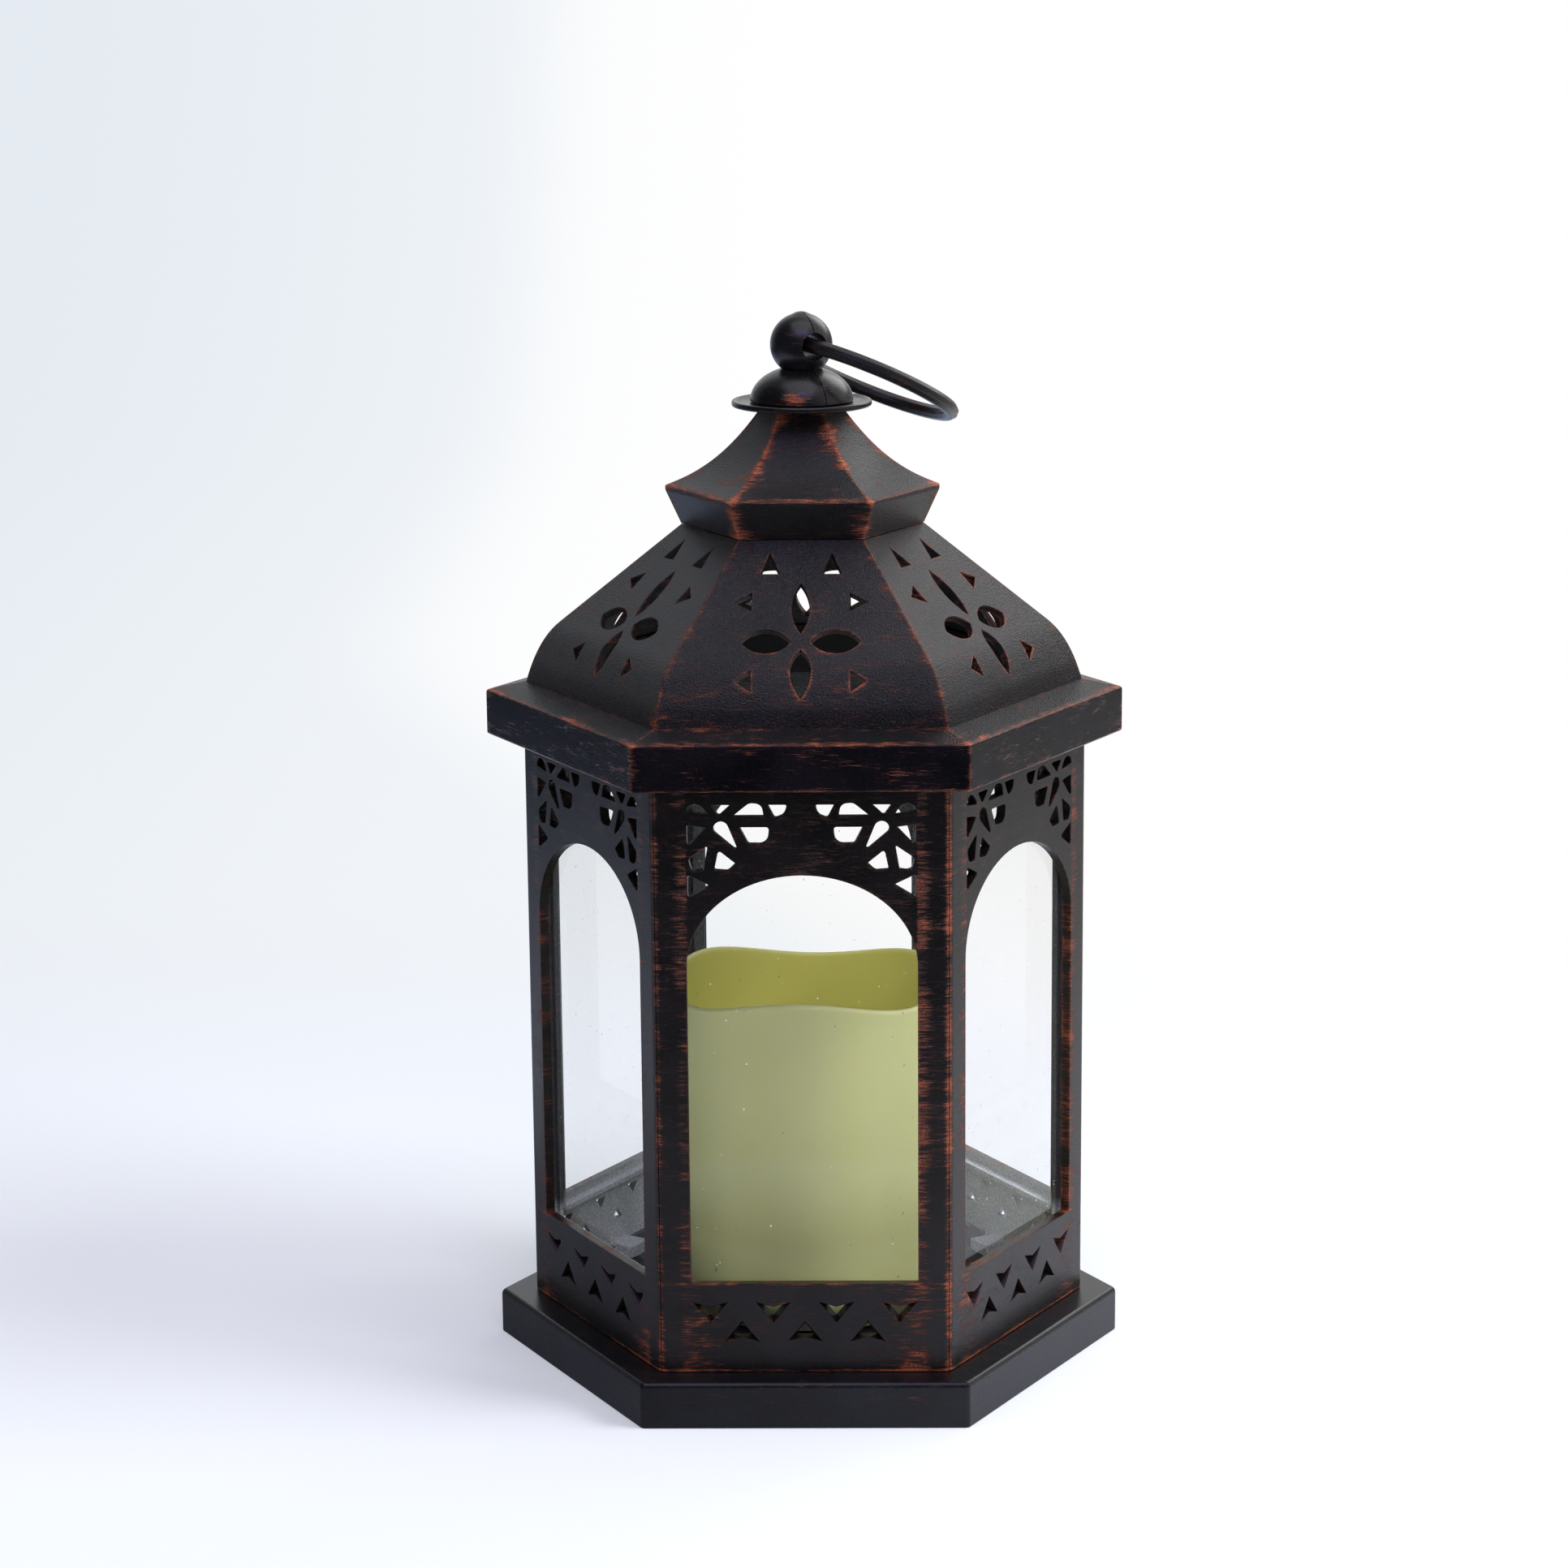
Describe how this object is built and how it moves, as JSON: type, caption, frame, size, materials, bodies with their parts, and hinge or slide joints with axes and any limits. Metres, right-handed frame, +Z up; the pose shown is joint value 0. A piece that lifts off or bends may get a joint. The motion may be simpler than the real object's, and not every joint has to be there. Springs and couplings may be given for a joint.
{
  "type": "hurricane lantern",
  "caption": "Hexagonal lantern with arched glazed windows, pierced roof and fretwork, ball finial with a swinging carry ring, and an electric pillar candle inside.",
  "frame": {"origin": "centre of the plinth's underside, on the ground", "axes": "+Z up the lantern's axis; -Y out of the front panel; +X to the front panel's right as seen from outside"},
  "size_m": [0.186, 0.161, 0.3077],
  "materials": {
    "plinth_black": "satin black moulded plastic",
    "bronze_black": "near-black plastic, dry-brushed with copper",
    "roof_black": "near-black plastic with copper on its hips and edges",
    "clear_glass": "clear sheet glass",
    "cream_wax": "smooth cream wax-like plastic",
    "screw_steel": "zinc-plated steel",
    "inner_black": "plain black moulded plastic",
    "battery_jacket": "plain dark battery jacket",
    "contact_plate": "nickel-plated spring steel",
    "board_green": "green circuit board",
    "lamp_amber": "clear amber lamp resin",
    "lead_sleeve": "red wire sleeve",
    "switch_grey": "dark grey plastic"
  },
  "bodies": {
    "lantern": {"base_plinth": "plinth_black", "base_screw_1": "screw_steel", "base_screw_2": "screw_steel", "base_screw_3": "screw_steel", "base_screw_4": "screw_steel", "base_screw_5": "screw_steel", "base_screw_6": "screw_steel", "side_panel_front": "bronze_black", "side_panel_front_right": "bronze_black", "side_panel_back_right": "bronze_black", "side_panel_back": "bronze_black", "side_panel_back_left": "bronze_black", "side_panel_front_left": "bronze_black", "pane_front": "clear_glass", "pane_front_right": "clear_glass", "pane_back_right": "clear_glass", "pane_back": "clear_glass", "pane_back_left": "clear_glass", "pane_front_left": "clear_glass", "roof_shell": "roof_black", "roof_cap": "roof_black", "finial_disc": "bronze_black", "finial_left": "bronze_black", "finial_right": "bronze_black", "finial_screw_1": "screw_steel", "finial_screw_2": "screw_steel", "candle_shell": "cream_wax", "candle_base": "inner_black", "candle_screw_1": "screw_steel", "candle_screw_2": "screw_steel", "candle_screw_3": "screw_steel", "battery_1": "battery_jacket", "battery_2": "battery_jacket", "battery_3": "battery_jacket", "battery_contact_1": "contact_plate", "battery_contact_2": "contact_plate", "battery_contact_3": "contact_plate", "battery_contact_4": "contact_plate", "battery_contact_5": "contact_plate", "battery_contact_6": "contact_plate", "switch_body": "inner_black", "led_board": "board_green", "led_lamp": "lamp_amber", "led_lead_1": "lead_sleeve", "led_lead_2": "lead_sleeve"},
    "ring": {"carry_ring": "bronze_black"},
    "door": {"battery_door": "inner_black"},
    "knob": {"switch_knob": "switch_grey"}
  },
  "joints": [
    {"name": "ring_swing", "type": "hinge", "parent": "lantern", "child": "ring", "pos_m": [0, 0, 0.29829], "axis": [0.5446, -0.8387, 0], "range_deg": [-19, 252]},
    {"name": "door_hinge", "type": "hinge", "parent": "lantern", "child": "door", "pos_m": [0, -0.01655, 0.0029], "axis": [-1, 0, 0], "range_deg": [0, 90]},
    {"name": "switch_slide", "type": "slide", "parent": "lantern", "child": "knob", "axis": [1, 0, 0], "range_m": [0, 0.003]}
  ]
}
